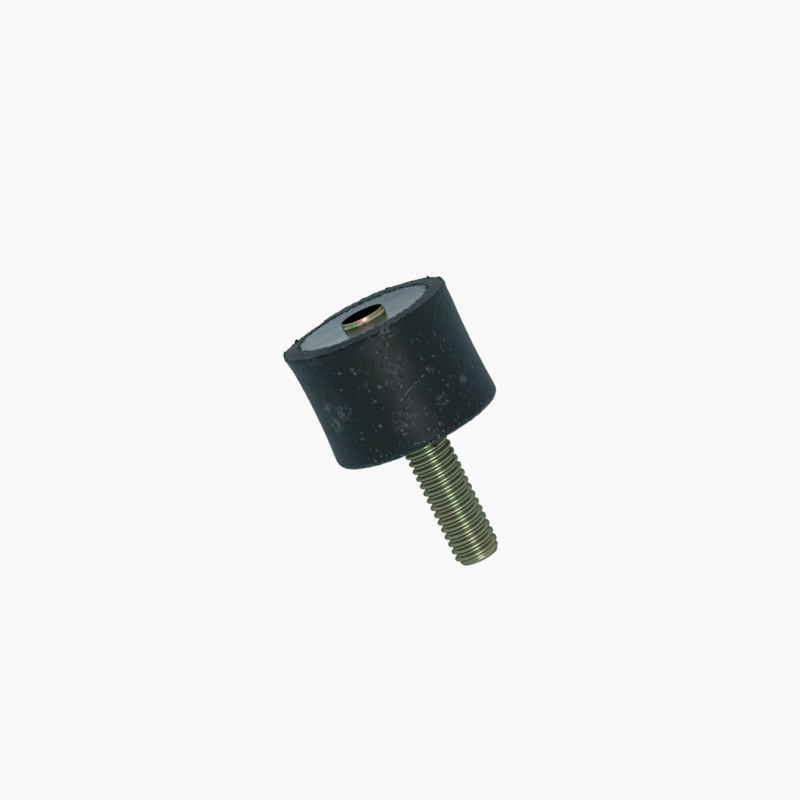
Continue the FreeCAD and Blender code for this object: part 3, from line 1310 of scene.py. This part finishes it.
@dataclass
class PhotoCamera:
    """The camera at the photograph's angle: from the front, a little above, and rolled."""

    elevation: float = 12.843
    roll: float = -26.119
    distance: float = 550.0
    focal_pixels: float = 3272.2
    target: Place = (-0.522, 0.025, 5.880)

    def build(self) -> Object:
        """Makes the camera and gives it to the scene."""
        e, turned = math.radians(self.elevation), math.radians(self.roll)
        back = Vector((0.0, -math.cos(e), math.sin(e)))
        level = Vector((1.0, 0.0, 0.0))
        upright = Vector((0.0, math.sin(e), math.cos(e)))
        right = level * math.cos(turned) + upright * math.sin(turned)
        up = upright * math.cos(turned) - level * math.sin(turned)
        data = bpy.data.cameras.new("photo_camera")
        data.sensor_width = SENSOR
        data.lens = self.focal_pixels * SENSOR / PHOTO_SIDE
        data.clip_start, data.clip_end = 0.01, 100.0
        camera = bpy.data.objects.new("photo_camera", data)
        bpy.context.scene.collection.objects.link(camera)
        place = (Vector(self.target) + back * self.distance) * MM
        camera.matrix_world = Matrix((right, up, back)).transposed().to_4x4()
        camera.location = place
        bpy.context.scene.camera = camera
        return camera


@dataclass
class Studio:
    """White surroundings, a floor well below the stud's point, and one soft lamp by the camera."""

    floor_height: float = -430.0
    floor_side: float = 30.0
    fill: float = 0.32
    fill_colour: str = "#F4F8FA"
    paper: str = "#F2F2F2"
    # The floor glows a little under white, and its faint grey takes the shadow.
    floor_glow: float = 0.9
    floor_grey: float = 0.16
    lamp_azimuth: float = 3.0
    lamp_elevation: float = -14.0
    lamp_distance: float = 0.65
    lamp_width: float = 0.3
    lamp_height: float = 0.5
    lamp_radiance: float = 6.2
    middle: Place = (0.0, 0.0, 5.0)

    def world(self) -> None:
        """Makes the surroundings white to the camera and to gloss, and a plain fill for the rest."""
        world = bpy.data.worlds.new("white_room")
        bpy.context.scene.world = world
        world.use_nodes = True
        tree = world.node_tree
        tree.nodes.clear()
        fill = add_node(tree, "Background", inputs={"Color": linear(self.fill_colour), "Strength": self.fill})
        white = add_node(tree, "Background", inputs={"Color": (1, 1, 1, 1), "Strength": 1.0})
        mix = add_node(tree, "MixShader", inputs={0: white_rays(tree), 1: fill, 2: white})
        add_node(tree, "OutputWorld", inputs={"Surface": mix})

    def floor(self) -> Object:
        """Lays the floor, which stays white and keeps a faint shadow."""
        mesh = bmesh.new()
        bmesh.ops.create_grid(mesh, x_segments=2, y_segments=2, size=self.floor_side / 2)
        bmesh.ops.translate(mesh, vec=(0, 0, self.floor_height * MM), verts=mesh.verts)
        data = bpy.data.meshes.new("floor")
        mesh.to_mesh(data)
        mesh.free()
        floor = bpy.data.objects.new("floor", data)
        bpy.context.scene.collection.objects.link(floor)
        material = bpy.data.materials.new("white_paper_floor")
        material.use_nodes = True
        tree = material.node_tree
        tree.nodes.clear()
        paper = add_node(tree, "BsdfDiffuse", inputs={"Color": linear(self.paper)})
        glow = add_node(tree, "Emission", inputs={"Strength": self.floor_glow})
        grey = self.floor_grey
        faint = add_node(tree, "BsdfDiffuse", inputs={"Color": (grey, grey, grey, 1)})
        bright = add_node(tree, "AddShader", inputs={0: glow, 1: faint})
        front = add_node(tree, "MixShader", inputs={0: white_rays(tree), 1: paper, 2: bright})
        side = add_node(tree, "NewGeometry")
        clear = add_node(tree, "BsdfTransparent")
        both = add_node(
            tree, "MixShader", inputs={0: side.outputs["Backfacing"], 1: front, 2: clear}
        )
        add_node(tree, "OutputMaterial", inputs={"Surface": both})
        data.materials.append(material)
        return floor

    def lamp(self) -> Object:
        """Hangs the soft lamp by the camera."""
        azimuth, elevation = math.radians(self.lamp_azimuth), math.radians(self.lamp_elevation)
        back = Vector(
            (
                math.sin(azimuth) * math.cos(elevation),
                -math.cos(azimuth) * math.cos(elevation),
                math.sin(elevation),
            )
        )
        data = bpy.data.lights.new("soft_lamp", "AREA")
        data.shape = "RECTANGLE"
        data.size = self.lamp_width
        data.size_y = self.lamp_height
        data.energy = self.lamp_radiance * math.pi * self.lamp_width * self.lamp_height
        lamp = bpy.data.objects.new("soft_lamp", data)
        bpy.context.scene.collection.objects.link(lamp)
        lamp.location = Vector(self.middle) * MM + back * self.lamp_distance
        lamp.rotation_euler = back.to_track_quat("Z", "Y").to_euler()
        return lamp

    def build(self) -> None:
        """Sets up the whole studio."""
        self.world()
        self.floor()
        self.lamp()


def main() -> None:
    """Builds the mount, the camera and the studio."""
    logging.basicConfig(level=logging.INFO, format="%(name)s: %(message)s")
    bpy.context.scene.view_settings.view_transform = "Standard"
    PhotoCamera().build()
    Studio().build()
    stud_plating = YellowPassivatedZinc(
        "yellow_passivated_zinc_stud", stains_and_highlight=(((1.47, -3.72, -2.9), 0.55, "#040504"),)
    ).make()
    bush_plating = YellowPassivatedZinc(
        "yellow_passivated_zinc_bush", "#8F906C", "#828E6C", "#928C6D", "#9DA390", roughness=0.24,
        stains_and_highlight=(
            ((-2.95, -2.65, 21.0), 0.5, "#3F5A22"),
            ((-2.4, -3.15, 21.0), 0.55, "#3F5A22"),
            ((-1.8, -3.55, 21.0), 0.5, "#3F5A22"),
            # This pale pink patch at the front of the collar's top is a painted highlight, not a stain.
            ((-0.25, -3.9, 21.9), 1.7, "#BE9C92"),
            ((-0.35, -3.9, 21.0), 0.6, "#8A6450"),
            ((-3.6, -1.6, 21.9), 1.6, "#96A096"),
        ),
    ).make()
    plate_finish = PhosphatedSteel().make()
    RubberMoulding().build(MouldedRubber().make())
    BondedPlate(End.TOP, 19.05, 3.8, dish=0.28).build(plate_finish)
    BondedPlate(End.BASE, 0.0, 4.2).build(plate_finish)
    TappedBush().build(bush_plating, ShadedBore().make())
    ThreadedStud().build(stud_plating)


if __name__ == "__main__":
    main()
